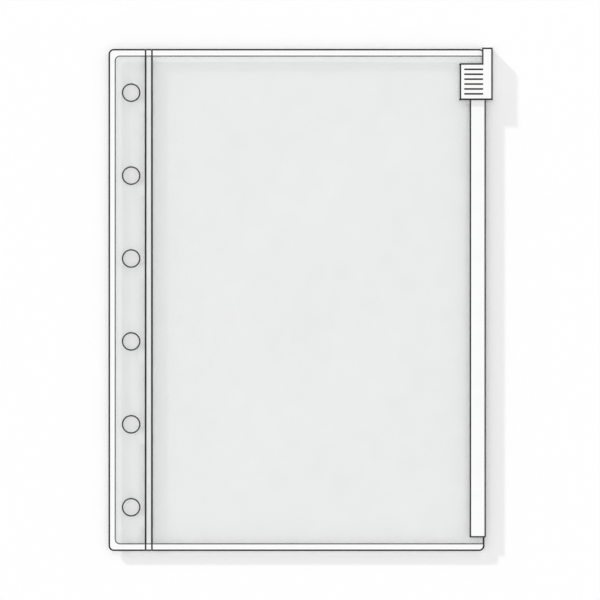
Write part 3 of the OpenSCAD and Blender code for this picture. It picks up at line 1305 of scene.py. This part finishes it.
@dataclass
class Pocket(SheetPart):
    """The pocket: two films, the welds along the top and the bottom, and the second crease bead."""

    film_end: float = 157.2
    tab_end: float = 160.2
    tab_reach: dict[End, float] = field(default_factory=lambda: {End.BOTTOM: 5.8, End.TOP: 6.2})
    swell: float = 0.62
    wave: float = 0.34
    pucker: float = 0.15
    wave_rest: float = 0.8
    wave_sway: float = 0.5
    long_wave: Range = (11.0, 31.0)
    cross_wave: Range = (23.0, 14.0)
    cross_shift: float = 1.7
    rear_shift: float = 2.1
    crease_rise: float = 42.0
    end_rise: float = 48.0
    zip_fall: Range = (104.0, 148.0)
    end_puckers: Puckers = Puckers(pitch=1.55, drift=12.0, sway=1.4, reach=8.0)
    crease_puckers: Puckers = Puckers(pitch=1.9, drift=17.0, sway=1.6, reach=7.0)
    crease_pucker_share: float = 0.8
    crease_pucker_rise: float = 10.0
    fine_rows: float = 26.0
    fine_columns: float = 40.0
    tab_row: float = 0.75
    fine_row: float = 1.1
    row: float = 3.2
    tab_column: float = 0.7
    fine_column: float = 1.2
    column: float = 1.7
    corner_steps: int = 10
    line_step: float = 3.0
    rise_step: float = 0.8

    def edge_line(self, end: End, with_rise: bool) -> np.ndarray:
        """Middle of the edge bead along one end and round the outer corner.

        Args:
            end: Top or bottom.
            with_rise: True if the line runs on along the zip edge to the track.

        Returns:
            Flat points of the line.
        """
        sheet = self.sheet
        centre = (sheet.width - sheet.corner_r, sheet.corner_r)
        corner = arc(centre, sheet.corner_r - sheet.edge, 270.0, 360.0, self.corner_steps)
        run = spaced(sheet.pocket_crease, corner[0, 0], self.line_step)[:-1]
        line = np.vstack((level(run, sheet.edge), corner))
        if with_rise:
            rise = spaced(corner[-1, 1], self.tab_reach[end], self.rise_step)[1:]
            line = np.vstack((line, upright(corner[-1, 0], rise)))
        return line if end is End.BOTTOM else sheet.flipped(line)

    def pattern(self) -> FlatPattern:
        """Draws the flat cut of one pocket film.

        Returns:
            The cut, with the two tabs past the track's ends.
        """
        sheet = self.sheet
        made = FlatPattern()
        left = sheet.pocket_crease + sheet.crease_bead / 2 - sheet.tuck
        low = sheet.end_weld - sheet.tuck
        tabs = {end: spaced(low, reach, self.tab_row) for end, reach in self.tab_reach.items()}
        near = {
            end: np.concatenate((tab, spaced(tab[-1], self.fine_rows, self.fine_row)[1:]))
            for end, tab in tabs.items()
        }
        middle = spaced(self.fine_rows, sheet.height - self.fine_rows, self.row)[1:-1]
        rows = np.concatenate((near[End.BOTTOM], middle, (sheet.height - near[End.TOP])[::-1]))
        fine = spaced(left, self.fine_columns, self.fine_column)
        columns = np.concatenate((fine, spaced(self.fine_columns, self.film_end, self.column)[1:]))
        made.block(np.dstack(np.meshgrid(columns, rows)))
        tab = spaced(self.film_end, self.tab_end + sheet.tuck, self.tab_column)
        made.block(np.dstack(np.meshgrid(tab, tabs[End.BOTTOM])))
        made.block(np.dstack(np.meshgrid(tab, (sheet.height - tabs[End.TOP])[::-1])))
        return made

    def film_height(self, side: Side, x: np.ndarray, y: np.ndarray) -> np.ndarray:
        """The height of one pocket film's middle: a slack swell, with puckers beside the welds.

        Args:
            side: Which film.
            x: Flat places along x.
            y: Flat places along y.

        Returns:
            The height at each place.
        """
        sheet = self.sheet
        shift = 0.0 if side is Side.FRONT else self.rear_shift
        from_end = np.maximum(np.minimum(y, sheet.height - y) - sheet.end_weld, 0.0)
        from_crease = np.maximum(x - sheet.pocket_crease - sheet.crease_bead / 2, 0.0)
        off_zip = 1.0 - ramp(*self.zip_fall, x)
        slack = ramp(0.0, self.crease_rise, from_crease) * off_zip * ramp(0.0, self.end_rise, from_end)
        roll = np.sin(x / self.long_wave[0] + y / self.long_wave[1] + shift)
        roll += np.sin(x / self.cross_wave[0] - y / self.cross_wave[1] + self.cross_shift + shift)
        drawn = self.end_puckers.height(x, from_end, shift) * off_zip
        pulled = self.crease_puckers.height(y, from_crease, shift)
        pulled *= self.crease_pucker_share * ramp(0.0, self.crease_pucker_rise, from_end)
        stand = slack * (self.swell + self.wave * (self.wave_rest + self.wave_sway * roll))
        return side.value * (sheet.film_z + stand + self.pucker * (drawn + pulled))

    def build(self) -> None:
        """Builds and dresses the pocket's pieces."""
        sheet = self.sheet
        bands = []
        for end in End:
            outer = self.edge_line(end, with_rise=False)
            inner = level(outer[:, 0], sheet.end_y(end, sheet.inner_end))
            edge = self.edge_line(end, with_rise=True)
            bands.append(self.build_weld(end.value, "pocket", (outer, inner), edge)[0])
        self.build_crease("pocket", sheet.pocket_crease)
        self.build_films("pocket", self.pattern(), self.film_height, bands)


@dataclass(frozen=True)
class SectionPoint:
    """One point of a section across the zip.

    pull is how it moves where an end is rounded. line marks a face after it that is painted dark as edge
    shade, outer a point on the outside.
    """

    u: float
    z: float
    pull: Range = (0.0, 0.0)
    line: bool = False
    outer: bool = False

    def mirrored(self) -> "SectionPoint":
        """The same point on the other face of the page."""
        return replace(self, z=-self.z, pull=(self.pull[0], -self.pull[1]))


def section_arrays(points: Sequence[SectionPoint]) -> tuple[np.ndarray, np.ndarray]:
    """Places of a section's points, and how they move where an end is rounded."""
    return np.array([(p.u, p.z) for p in points]), np.array([p.pull for p in points])


def rounded_end(place: float, inward: float, radius: float) -> list[Range]:
    """Stations of a rounded end.

    Args:
        place: Where the body ends.
        inward: 1 if the body lies above the end, -1 if below.
        radius: Radius of the rounding.

    Returns:
        Place and share of the rounding at each station, from the end inwards.
    """
    turns = [math.radians(90.0 * k / END_STEPS) for k in range(END_STEPS, -1, -1)]
    return [(place + inward * radius * (1 - math.sin(t)), 1 - math.cos(t)) for t in turns]


@dataclass
class ZipTrack:
    """The two halves of the track, with a rib that snaps into a groove, and its fused ends."""

    shop: Workshop
    x: float = 154.6
    low: float = 5.9
    high: float = 208.7
    width: float = 6.9
    half_t: float = 1.2
    film_out: float = 0.25
    edge_r: float = 0.25
    end_r: float = 0.2
    # line_w and line_drop size the dark lines painted on the track's rounded edges and ends as edge shade.
    line_w: float = 0.62
    line_drop: float = 0.5
    interlock: Range = (2.7, 5.4)
    rib_u: float = 4.05
    land_z: float = 0.02
    hook_z: float = 0.32
    barb_z: float = 0.40
    tip_z: float = 0.76
    roof_z: float = 0.84
    lip_z: float = 0.5
    mouth_w: float = 0.86
    groove_w: float = 1.46
    stem_w: float = 0.7
    head_w: float = 1.3
    tip_w: float = 0.5
    face_shares: tuple[float, ...] = (0.68, 0.5, 0.32)
    corner_steps: int = 5
    row: float = 6.0

    def outer_run(self) -> list[SectionPoint]:
        """Draws the half's outer face.

        Returns:
            Its points from the lip over the front to the flange.
        """
        top, wide = self.half_t, self.width
        line_z = top - self.line_drop
        face = (wide - self.line_w, *(share * wide for share in self.face_shares))
        return [
            SectionPoint(wide, self.lip_z, (-1, 0), outer=True),
            SectionPoint(wide, line_z, (-1, 0), line=True, outer=True),
            *self.corner(wide - self.edge_r, 0.0),
            *(SectionPoint(u, top, (0, -1), outer=True) for u in face),
            SectionPoint(self.line_w, top, (0, -1), line=True, outer=True),
            *self.corner(self.edge_r, 90.0),
            SectionPoint(0.0, line_z, (1, 0), outer=True),
            SectionPoint(0.0, self.film_out, (1, 0)),
        ]

    def corner(self, u: float, first: float) -> list[SectionPoint]:
        """A rounded edge of the section, painted dark as edge shade.

        Args:
            u: Place of its centre across the track.
            first: Angle of its first point, in degrees.

        Returns:
            Its points in order.
        """
        places = arc((u, self.half_t - self.edge_r), self.edge_r, first, first + 90.0, self.corner_steps)
        pulls = -arc((0.0, 0.0), 1.0, first, first + 90.0, self.corner_steps)
        return [SectionPoint(*place, tuple(pull), True, True) for place, pull in zip(places, pulls)]

    def section(self, side: Side) -> list[SectionPoint]:
        """The closed section of one half.

        Args:
            side: Front for the groove, rear for the rib.

        Returns:
            Its points in order.
        """
        first, last = self.interlock
        mid = self.rib_u
        if side is Side.FRONT:
            mouth, groove = self.mouth_w / 2, self.groove_w / 2
            inner = [
                (first, self.film_out), (first, self.land_z),
                (mid - mouth, self.land_z), (mid - mouth, self.hook_z),
                (mid - groove, self.hook_z), (mid - groove, self.roof_z),
                (mid + groove, self.roof_z), (mid + groove, self.hook_z),
                (mid + mouth, self.hook_z), (mid + mouth, self.land_z),
                (last, self.land_z), (last, self.lip_z),
            ]
            return [SectionPoint(u, z) for u, z in inner] + self.outer_run()
        stem, head, tip = self.stem_w / 2, self.head_w / 2, self.tip_w / 2
        inner = [
            (first, -self.film_out), (first, -self.land_z),
            (mid - stem, -self.land_z), (mid - stem, self.barb_z), (mid - head, self.barb_z),
            (mid - tip, self.tip_z), (mid + tip, self.tip_z),
            (mid + head, self.barb_z), (mid + stem, self.barb_z), (mid + stem, -self.land_z),
            (last, -self.land_z), (last, -self.lip_z),
        ]
        return [SectionPoint(u, z) for u, z in inner] + [p.mirrored() for p in self.outer_run()]

    def build(self) -> None:
        """Builds both halves and dresses the fused ends."""
        looks = self.shop.finishes
        stations = rounded_end(self.low, 1, self.end_r)
        stations += [(y, 0.0) for y in spaced(self.low + self.line_w, self.high - self.line_w, self.row)]
        stations += rounded_end(self.high, -1, self.end_r)[::-1]
        for side, name in ((Side.FRONT, "zip_groove_track"), (Side.REAR, "zip_rib_track")):
            points = self.section(side)
            base, pull = section_arrays(points)
            base[:, 0] += self.x
            rings = [stood(base + pull * self.end_r * share, y) for y, share in stations]
            # Faces on the rounded edges, and the outer faces near the ends, take the dark slot: painted
            # edge shade.
            slots = []
            for (y0, _), (y1, _) in zip(stations, stations[1:]):
                near_end = min((y0 + y1) / 2 - self.low, self.high - (y0 + y1) / 2) < self.line_w
                slots.append([int(p.line or (near_end and p.outer)) for p in points])
            draft = MeshDraft()
            draft.loft(np.array(rings), slots)
            half = draft.piece(name + "_half", self.shop.space, [looks.track, looks.line])
            self.shop.keep(half, "pocket", "zip_track", name)
        for name in ("top_end_stop", "bottom_end_stop"):
            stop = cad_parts[name]
            stop.data.materials.clear()
            stop.data.materials.append(looks.track)
            LOG.info("%s: packed solid, dressed", name)


@dataclass
class ZipSlider:
    """The slider: a channel round the track with grip grooves on both faces, a tail and a blade.

    Fields that end in _steps with several values are distances of mesh points from the edge or line
    that their method names.
    """

    shop: Workshop
    left: float = 150.2
    right: float = 164.4
    low: float = 192.9
    high: float = 208.7
    half_t: float = 2.5
    edge_r: float = 0.7
    edge_steps: int = 6
    end_r: float = 0.34
    # line_w is the width of the dark band painted round the slider's ends as edge shade.
    line_w: float = 0.72
    bay: Range = (154.3, 161.8)
    bay_z: float = 1.5
    lead_in: float = 0.4
    roof_steps: tuple[float, ...] = (0.2, 0.8, 2.8, 4.4)
    slot_z: float = 0.6
    slot_lead: float = 0.12
    jaw_x: Range = (153.4, 152.0)
    jaw_z: float = 1.1
    lip_r: float = 0.2
    lip_lead: float = 0.3
    lip_steps: int = 3
    side_z: float = 1.3
    face_left_steps: tuple[float, ...] = (1.05, 1.3)
    face_right_steps: tuple[float, ...] = (5.8, 4.3, 2.8, 1.5, 0.9, 0.4, 0.15)
    spine_x: float = 161.0
    spine_z: tuple[float, ...] = (-0.7, 0.0, 0.7)
    tail_x: float = 159.8
    tail_top: float = 215.4
    tail_r: float = 0.4
    tail_fade: float = 0.8
    tail_rows: tuple[float, ...] = (210.0, 212.0, 213.5)
    tail_left_steps: tuple[float, ...] = (0.1, 0.22)
    tail_right_steps: tuple[float, ...] = (3.1, 2.2, 1.3)
    bend_steps: int = 4
    grip_x: Range = (152.2, 160.2)
    grip_first: float = 2.65
    grip_pitch: float = 2.1
    grip_count: int = 6
    grip_w: float = 0.6
    grip_depth: float = 0.4
    grip_wall: Range = (0.12, 0.36)
    # Faces this near a grip groove's middle line are painted dark as shade in the groove.
    grip_shade_reach: float = 0.32
    grip_steps: tuple[float, ...] = (0.12, 0.2, 0.28, 0.36, 0.5)
    grip_end_steps: tuple[float, ...] = (-0.3, -0.2, -0.1, 0.0, 0.1, 0.2, 0.35, 0.5)
    blade_y: Range = (200.8, 205.8)
    blade_t: float = 0.4
    blade_reach: float = 1.5
    blade_root: float = 0.3
    blade_cut: float = 0.3
    blade_nose: Range = (0.15, 0.2)
    blade_bevel: float = 0.1
    blade_rim: float = 0.93

    def face_places(self) -> np.ndarray:
        """Spaces the points on the front face left of the tail.

        Returns:
            Their places along x, from the jaw to the tail's edge.
        """
        run = self.left + np.array((self.edge_r, *self.face_left_steps))
        grip_end = self.grip_x[0] + np.array(self.grip_end_steps)
        return np.concatenate((run, grip_end, self.tail_x - np.array(self.face_right_steps)))

    def tail_places(self) -> np.ndarray:
        """Spaces the points on the front face of the tail.

        Returns:
            Their places along x, from the tail's edge to the spine.
        """
        turns = np.radians(np.linspace(0.0, 90.0, self.bend_steps + 1))
        bend = self.tail_x + self.tail_r * (1 - np.cos(turns))
        flat = self.right - np.array(self.tail_right_steps)
        return np.concatenate((bend, bend[-1] + np.array(self.tail_left_steps), flat))

    def on_front(self, places: np.ndarray) -> list[SectionPoint]:
        """Points on the front face at places along x."""
        return [SectionPoint(x, self.half_t, (0, -self.end_r), outer=True) for x in places]

    def rounded_edge(self, centre: float, first: float, last: float) -> list[SectionPoint]:
        """A rounded edge of the front face, painted dark as edge shade.

        Args:
            centre: Place of its centre along x.
            first: Angle of its first point, in degrees.
            last: Angle of its last point, in degrees.

        Returns:
            Its points in order.
        """
        places = arc((centre, self.half_t - self.edge_r), self.edge_r, first, last, self.edge_steps)
        pulls = -arc((0.0, 0.0), self.end_r, first, last, self.edge_steps)
        return [SectionPoint(*place, tuple(pull), True, True) for place, pull in zip(places, pulls)]

    def front_body(self) -> list[SectionPoint]:
        """Draws the front wall left of the tail.

        Returns:
            Its points from the bay's roof round the jaw to the front face.
        """
        places = (*(self.tail_x - step for step in self.roof_steps), self.bay[0])
        roof = [SectionPoint(x, self.bay_z, (0, self.lead_in)) for x in places]
        jaw = [SectionPoint(self.bay[0], z) for z in (self.jaw_z, self.slot_z)]
        jaw += [SectionPoint(x, self.slot_z, (0, self.slot_lead)) for x in self.jaw_x]
        centre = (self.left + self.lip_r, self.slot_z + self.lip_r)
        turned = arc(centre, self.lip_r, 270.0, 180.0, self.lip_steps)
        lip = [
            SectionPoint(x, z, (self.lip_lead * (centre[0] - x) / self.lip_r, self.slot_lead), outer=True)
            for x, z in turned
        ]
        side = [SectionPoint(self.left, self.side_z, (self.end_r, 0), outer=True)]
        edge = self.rounded_edge(self.left + self.edge_r, 180.0, 90.0)[:-1]
        return roof + jaw + lip + side + edge + self.on_front(self.face_places())

    def tail_outer(self) -> list[SectionPoint]:
        """Draws the outer face of the tail's stretch.

        Returns:
            Its points from the front over the spine to the rear.
        """
        front = self.on_front(self.tail_places())
        edge = self.rounded_edge(self.right - self.edge_r, 90.0, 0.0)
        edge[-1] = replace(edge[-1], line=False)
        waist = [SectionPoint(self.right, 0.0, (-self.end_r, 0), outer=True)]
        back = [p.mirrored() for p in reversed(front + edge)]
        shifted = [replace(p, line=k < self.edge_steps) for k, p in enumerate(back)]
        return front + edge + waist + shifted

    def tail_inner(self) -> list[SectionPoint]:
        """Draws the bay's stretch behind the tail.

        Returns:
            Its points from the rear wall round the spine to the front wall.
        """
        places = (self.tail_x, self.spine_x, self.bay[1])
        roof = [SectionPoint(x, -self.bay_z, (0, -self.lead_in)) for x in places]
        spine = [SectionPoint(self.bay[1], z) for z in self.spine_z]
        return roof + spine + [p.mirrored() for p in reversed(roof)]

    def groove_lines(self) -> np.ndarray:
        """Places along y of the grip grooves' middle lines."""
        return self.low + self.grip_first + self.grip_pitch * np.arange(self.grip_count)

    def groove_gap(self, x: np.ndarray, y: float) -> np.ndarray:
        """Distance from places on a face to the nearest groove's middle line.

        Args:
            x: Places along x.
            y: Place along y.

        Returns:
            The distance of each place.
        """
        half = self.grip_w / 2
        sideways = np.maximum(np.maximum(self.grip_x[0] + half - x, x - self.grip_x[1] + half), 0.0)
        return np.hypot(sideways, np.min(np.abs(self.groove_lines() - y)))

    def stations(self) -> list[tuple[float, float, float]]:
        """Spaces the body's rings.

        Returns:
            Their places along y, each with its share of the rounding at the low and at the high end.
        """
        steps = (0.0, *(-step for step in self.grip_steps), *self.grip_steps)
        places = {round(middle + step, 4) for middle in self.groove_lines() for step in steps}
        places |= {self.low + self.line_w, self.high - self.line_w}
        low = [(y, share, 0.0) for y, share in rounded_end(self.low, 1, self.end_r)]
        high = [(y, 0.0, share) for y, share in rounded_end(self.high, -1, self.end_r)[::-1]]
        return low + [(y, 0.0, 0.0) for y in sorted(places)] + high

    def build(self) -> None:
        """Builds the slider as one closed moulding, with its blade."""
        looks = self.shop.finishes
        front = self.front_body()
        outer, inner = self.tail_outer(), self.tail_inner()
        back = [p.mirrored() for p in reversed(front)]
        lines = [*(p.line for p in back[1:]), False]
        rear = [replace(p, line=line) for p, line in zip(back, lines)]
        draft = MeshDraft()
        top = self.build_body(draft, outer + rear + inner + front)
        self.build_tail(draft, top, outer, inner)
        self.build_blade(draft)
        made = draft.piece("zip_slider_moulding", self.shop.space, [looks.slider, looks.line])
        self.shop.keep(made, "slider", "zip_slider", "zip_slider")

    def build_body(self, draft: MeshDraft, loop: list[SectionPoint]) -> np.ndarray:
        """Adds the body, open where the tail goes on.

        Args:
            draft: Draft to add to.
            loop: The body's closed section.

        Returns:
            Indices of the top ring.
        """
        base, pull = section_arrays(loop)
        fade = np.clip((self.tail_x - base[:, 0]) / self.tail_fade, 0.0, 1.0)
        on_face = np.isclose(np.abs(base[:, 1]), self.half_t)
        rows, gaps = [], []
        for y, low_share, high_share in self.stations():
            gap = np.where(on_face, self.groove_gap(base[:, 0], y), np.inf)
            place = base + pull * (low_share + high_share * fade)[:, None]
            place[:, 1] -= np.sign(base[:, 1]) * self.grip_depth * (1.0 - ramp(*self.grip_wall, gap))
            rows.append(stood(place, y))
            gaps.append(gap)
        index = draft.add_points(np.array(rows))
        for j in range(len(index) - 1):
            nearest = np.minimum(gaps[j], gaps[j + 1])
            nearest = np.minimum(nearest, np.roll(nearest, -1))
            y = (rows[j][0, 1] + rows[j + 1][0, 1]) / 2
            draft.bridge(index[j], index[j + 1], self.body_slots(loop, nearest, y))
        draft.add_face(index[0][::-1])
        return index[-1]

    def body_slots(self, loop: list[SectionPoint], gaps: np.ndarray, y: float) -> list[int]:
        """Material slots of one strip of the body's faces, 1 for the faces painted dark as shade on the
        edges and ends and in the grooves.

        Args:
            loop: The body's closed section.
            gaps: Distance from each face to the nearest groove's middle line.
            y: Middle of the strip along y.

        Returns:
            The slot of each face.
        """
        at_low, at_high = y < self.low + self.line_w, y > self.high - self.line_w
        slots = []
        for point, after, gap in zip(loop, loop[1:] + loop[:1], gaps):
            off_tail = max(point.u, after.u) <= self.tail_x + self.line_w
            at_end = point.outer and after.outer and (at_low or (at_high and off_tail))
            slots.append(int(point.line or at_end or gap < self.grip_shade_reach))
        return slots

    def build_tail(
        self, draft: MeshDraft, ring: np.ndarray, outer: list[SectionPoint], inner: list[SectionPoint]
    ) -> None:
        """Adds the tail above the body and closes the body beside it.

        Args:
            draft: Draft to add to.
            ring: Indices of the body's top ring.
            outer: Section of the tail's outer face.
            inner: Section of the bay behind the tail.
        """
        first = len(outer)
        second = first + (len(ring) - first - len(inner)) // 2
        third = second + len(inner)
        draft.add_face((ring[first - 1], *ring[first:second], ring[second]))
        draft.add_face((ring[third - 1], *ring[third:], ring[0]))
        section = outer + inner
        base, pull = section_arrays(section)
        bent = base.copy()
        for k, turn in enumerate(np.radians(np.linspace(0.0, 90.0, self.bend_steps + 1))):
            x = self.tail_x + self.tail_r * (1 - math.cos(turn))
            z = self.half_t - self.tail_r * (1 - math.sin(turn))
            for place, sign in ((k, 1.0), (first - 1 - k, -1.0)):
                bent[place] = (x, sign * z)
                pull[place] = (self.end_r * math.cos(turn), -sign * self.end_r * math.sin(turn))
        for place in (first, len(section) - 1):
            pull[place, 0] = self.end_r
        shares = np.linspace(0.0, 1.0, self.bend_steps + 1)
        stations = [(self.high + self.tail_r * share, 0.0, share) for share in shares]
        stations += [(y, 0.0, 1.0) for y in (*self.tail_rows, self.tail_top - self.line_w)]
        stations += [(y, share, 1.0) for y, share in rounded_end(self.tail_top, -1, self.end_r)[::-1]]
        before = np.concatenate((ring[:first], ring[second:third]))
        for (y0, _, _), (y, share, bend) in zip(stations, stations[1:]):
            now = draft.add_points(stood(base + (bent - base) * bend + pull * share, y))
            draft.bridge(before, now, self.tail_slots(section, (y0 + y) / 2))
            before = now
        draft.add_face(before)

    def tail_slots(self, section: list[SectionPoint], y: float) -> list[int]:
        """Material slots of one strip of the tail's faces, 1 for the faces painted dark as edge shade.

        Args:
            section: The tail's closed section.
            y: Middle of the strip along y.

        Returns:
            The slot of each face.
        """
        at_top = y > self.tail_top - self.line_w
        slots = []
        for point, after in zip(section, section[1:] + section[:1]):
            by_edge = max(point.u, after.u) <= self.tail_x + self.line_w
            slots.append(int(point.line or (point.outer and after.outer and (by_edge or at_top))))
        return slots

    def build_blade(self, draft: MeshDraft) -> None:
        """Adds the blade that parts the track's lips, with a nose that narrows downwards.

        Args:
            draft: Draft to add to.
        """
        low, high = self.blade_y
        back, tip = self.bay[1] + self.blade_root, self.bay[1] - self.blade_reach
        nose = low + self.blade_reach
        in_by, up_by = self.blade_nose
        outline = np.array((
            (back, low), (self.bay[1], low), (tip + in_by, nose - in_by), (tip, nose + up_by),
            (tip, high - self.blade_cut), (tip + self.blade_cut, high), (back, high),
        ))
        half = self.blade_t / 2
        wide = half - self.blade_bevel
        middle = outline.mean(axis=0)
        rings = []
        for share, z in ((self.blade_rim, -half), (1.0, -wide), (1.0, wide), (self.blade_rim, half)):
            flat = middle + (outline - middle) * share
            rings.append(np.column_stack((flat, np.full(len(flat), z))))
        draft.loft(np.array(rings))


@dataclass
class Studio:
    """A pale floor, soft light from all round, a low key from the upper left and the camera.

    Its lengths are metres in the frame, and the camera's sensor is in millimetres.
    """

    space: SheetSpace
    margin: bpy.types.Object
    aim: Range = (-0.000201, -0.000217)
    view_width: float = 0.2569
    camera_height: float = 1.2
    sensor_width: float = 36.0
    floor_half: float = 6.0
    floor_colour: Colour = (0.99, 0.99, 0.99)
    floor_roughness: Range = (0.8, 0.95)
    fibre_scale: float = 900.0
    sun_elevation: float = 17.0
    sun_strength: float = 1.45
    sun_angle: float = 3.0
    clear_faces: int = 24
    zenith: float = 1.13
    horizon: float = 0.353
    wall: float = 0.88
    panel: float = 0.6
    panel_count: float = 11.0
    panel_turn: float = 25.0
    panel_edge: Range = (-0.4, 0.9)
    panel_foot: Range = (0.16, 0.3)
    panel_head: Range = (0.62, 0.8)

    def build(self) -> None:
        """Builds the floor, the lights and the camera."""
        bpy.context.scene.cycles.transparent_max_bounces = self.clear_faces
        self.build_floor()
        self.build_world()
        self.build_sun()
        self.build_camera()

    def build_floor(self) -> None:
        """Lays the floor under the part."""
        graph = Graph("paper_floor")
        material = graph.plastic(
            Base_Color=(*self.floor_colour, 1.0), Specular_IOR_Level=0.0,
            Roughness=graph.spread(graph.noise(self.fibre_scale, 3.0), *self.floor_roughness)
        )
        half = self.floor_half
        mesh = bpy.data.meshes.new("floor")
        corners = [(-half, -half, 0.0), (half, -half, 0.0), (half, half, 0.0), (-half, half, 0.0)]
        mesh.from_pydata(corners, [], [(0, 1, 2, 3)])
        mesh.materials.append(material)
        floor = bpy.data.objects.new("floor", mesh)
        bpy.context.scene.collection.objects.link(floor)
        SinkingFloor().fit(floor, {"Margin": self.margin, "Material": material})

    def build_world(self) -> None:
        """Sets the room: light mostly from overhead, panels in reflections, white to the camera."""
        world = bpy.data.worlds.new("soft_room")
        world.use_nodes = True
        bpy.context.scene.world = world
        world.node_tree.nodes.clear()
        room = NodeTree(world.node_tree)
        ray = room.add("ShaderNodeTexCoord").outputs["Generated"]
        split = room.add("ShaderNodeSeparateXYZ", Vector=ray)
        height = split.outputs["Z"]
        turn = room.reckon("ARCTAN2", split.outputs["Y"], split.outputs["X"])
        turned = room.reckon("ADD", turn, math.radians(self.panel_turn))
        wave = room.reckon("COSINE", room.reckon("MULTIPLY", turned, self.panel_count))
        foot, head = room.smooth(height, *self.panel_foot), room.smooth(height, *self.panel_head)
        band = room.reckon("SUBTRACT", foot, head)
        glow = room.reckon("MULTIPLY", room.smooth(wave, *self.panel_edge), band)
        shown = room.reckon("ADD", room.reckon("MULTIPLY", glow, self.panel), self.wall)
        upward = room.reckon("MAXIMUM", height, 0.0)
        over = room.reckon("MULTIPLY", upward, self.zenith - self.horizon)
        light = room.reckon("ADD", over, self.horizon)
        path = room.add("ShaderNodeLightPath").outputs
        extra = room.reckon("MULTIPLY", room.reckon("SUBTRACT", shown, light), path["Is Glossy Ray"])
        lit = room.add("ShaderNodeBackground", Color=WHITE, Strength=room.reckon("ADD", light, extra))
        white = room.add("ShaderNodeBackground", Color=WHITE)
        seen = room.reckon("MAXIMUM", path["Is Camera Ray"], path["Is Transmission Ray"])
        room.add("ShaderNodeOutputWorld", Surface=room.mix(seen, lit, white).outputs[0])

    def build_sun(self) -> None:
        """Sets the key lamp, low over the page's upper left corner."""
        lamp = bpy.data.lights.new("key", "SUN")
        lamp.energy = self.sun_strength
        lamp.angle = math.radians(self.sun_angle)
        rise = math.radians(self.sun_elevation)
        along = math.cos(rise) * math.sqrt(0.5)
        key = bpy.data.objects.new("key", lamp)
        key.rotation_mode = "QUATERNION"
        key.rotation_quaternion = Vector((along, -along, -math.sin(rise))).to_track_quat("-Z", "Y")
        bpy.context.scene.collection.objects.link(key)

    def build_camera(self) -> None:
        """Sets the camera square above the page."""
        data = bpy.data.cameras.new("camera")
        data.sensor_width = self.sensor_width
        data.lens = self.sensor_width * self.camera_height / self.view_width
        camera = bpy.data.objects.new("camera", data)
        camera.location = (*self.aim, self.space.origin.z + self.camera_height)
        bpy.context.scene.collection.objects.link(camera)
        bpy.context.scene.camera = camera


def main() -> None:
    """Builds the pocket and its setting in order."""
    logging.basicConfig(level=logging.INFO, format="%(message)s")
    bpy.context.scene.view_settings.view_transform = "Standard"
    space = SheetSpace.from_frame()
    shop = Workshop(space, Finishes())
    sheet = Sheet()
    margin = PunchedMargin(shop, sheet).build()
    CreaseStrip(shop, sheet).build()
    Pocket(shop, sheet).build()
    ZipTrack(shop).build()
    ZipSlider(shop).build()
    Studio(space, margin).build()


if __name__ == "__main__":
    main()
